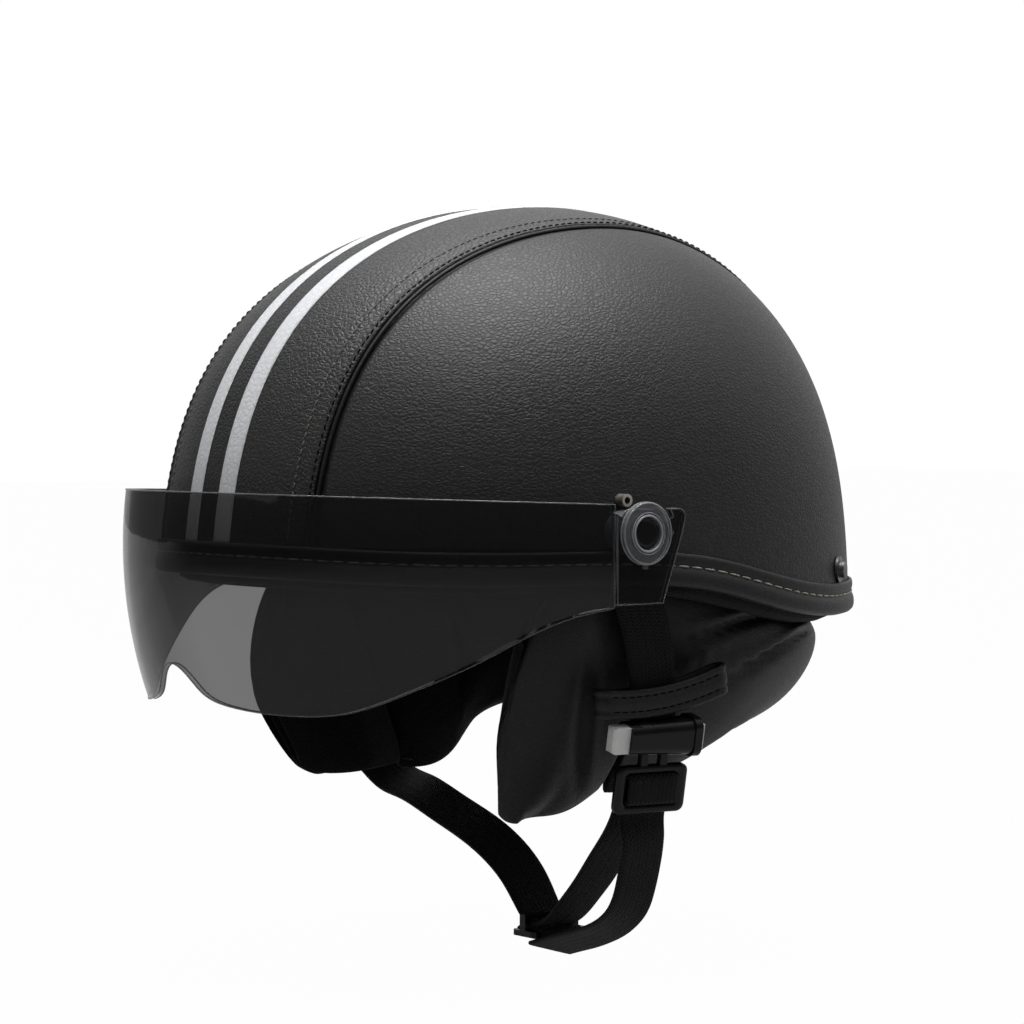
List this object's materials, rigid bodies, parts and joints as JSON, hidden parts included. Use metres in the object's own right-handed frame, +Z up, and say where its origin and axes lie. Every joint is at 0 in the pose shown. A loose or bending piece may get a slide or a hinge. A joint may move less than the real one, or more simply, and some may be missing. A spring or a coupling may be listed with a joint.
{
  "type": "half shell motorcycle helmet",
  "caption": "Leather-covered half shell motorcycle helmet with a raisable smoked visor, padded ear and neck skirt, and a webbing chin strap with a push-button buckle.",
  "frame": {"origin": "middle of the head opening, level with the rim at the sides", "axes": "+Z up towards the crown, -Y towards the face, +X towards the wearer's left"},
  "size_m": [0.2286, 0.2698, 0.2575],
  "materials": {
    "pebbled_leather": "matte",
    "smooth_leather": "satin",
    "binding_vinyl": "satin",
    "piping_vinyl": "satin",
    "silver_stripe": "satin",
    "shell_plastic": "gloss",
    "foam_liner": "matte",
    "lining_cloth": "matte",
    "black_webbing": "matte",
    "smoked_plastic": "polished",
    "clear_plastic": "polished",
    "black_screw": "gloss",
    "zinc_steel": "satin",
    "nickel_post": "polished",
    "nickel_stud": "polished",
    "buckle_black": "satin",
    "button_white": "satin",
    "spring_wire": "satin"
  },
  "bodies": {
    "helmet": {"anchor_plate_left": "zinc_steel", "anchor_plate_right": "zinc_steel", "buckle_housing": "buckle_black", "button_spring": "spring_wire", "centre_leather": "pebbled_leather", "chin_webbing": "black_webbing", "crown_pad": "lining_cloth", "ear_flap_left": "smooth_leather", "ear_flap_right": "smooth_leather", "ear_pad_left": "lining_cloth", "ear_pad_right": "lining_cloth", "head_band": "lining_cloth", "impact_foam": "foam_liner", "keeper_loop_left": "smooth_leather", "keeper_loop_right": "smooth_leather", "neck_pad": "lining_cloth", "neck_roll": "smooth_leather", "outer_shell": "shell_plastic", "piping_left": "piping_vinyl", "piping_right": "piping_vinyl", "pivot_nut_left": "zinc_steel", "pivot_nut_right": "zinc_steel", "pivot_ring_left": "clear_plastic", "pivot_ring_right": "clear_plastic", "pivot_screw_left": "black_screw", "pivot_screw_right": "black_screw", "pivot_spacer_left": "clear_plastic", "pivot_spacer_right": "clear_plastic", "rear_stud_left": "nickel_stud", "rear_stud_right": "nickel_stud", "rim_binding": "binding_vinyl", "side_leather_left": "pebbled_leather", "side_leather_right": "pebbled_leather", "stop_post_left": "nickel_post", "stop_post_right": "nickel_post", "stripe_left": "silver_stripe", "stripe_right": "silver_stripe", "upper_webbing_left": "black_webbing", "upper_webbing_right": "black_webbing", "webbing_tail": "black_webbing"},
    "visor_sheet": {"visor": "smoked_plastic"},
    "release_button": {"push_button": "button_white"},
    "buckle_tongue": {"ladder_tongue": "buckle_black", "webbing_wrap": "black_webbing"},
    "tail_slider": {"webbing_slider": "buckle_black"}
  },
  "joints": [
    {"name": "visor_raise", "type": "hinge", "parent": "helmet", "child": "visor_sheet", "pos_m": [0, -0.043, 0.0184], "axis": [-1, 0, 0], "range_deg": [0, 65]},
    {"name": "button_press", "type": "slide", "parent": "helmet", "child": "release_button", "axis": [0.1392, 0.9903, 0], "range_m": [0, 0.003], "stiffness_N_per_m": 400, "springref_m": -0.001, "deforming": ["button_spring"]},
    {"name": "tongue_release", "type": "slide", "parent": "helmet", "child": "buckle_tongue", "axis": [-0.2059, 0.0289, -0.9781], "range_m": [0, 0.014], "deforming": ["chin_webbing", "webbing_tail"]},
    {"name": "slider_shift", "type": "slide", "parent": "helmet", "child": "tail_slider", "axis": [-0.8176, 0.0832, 0.5698], "range_m": [0, 0.01]}
  ]
}
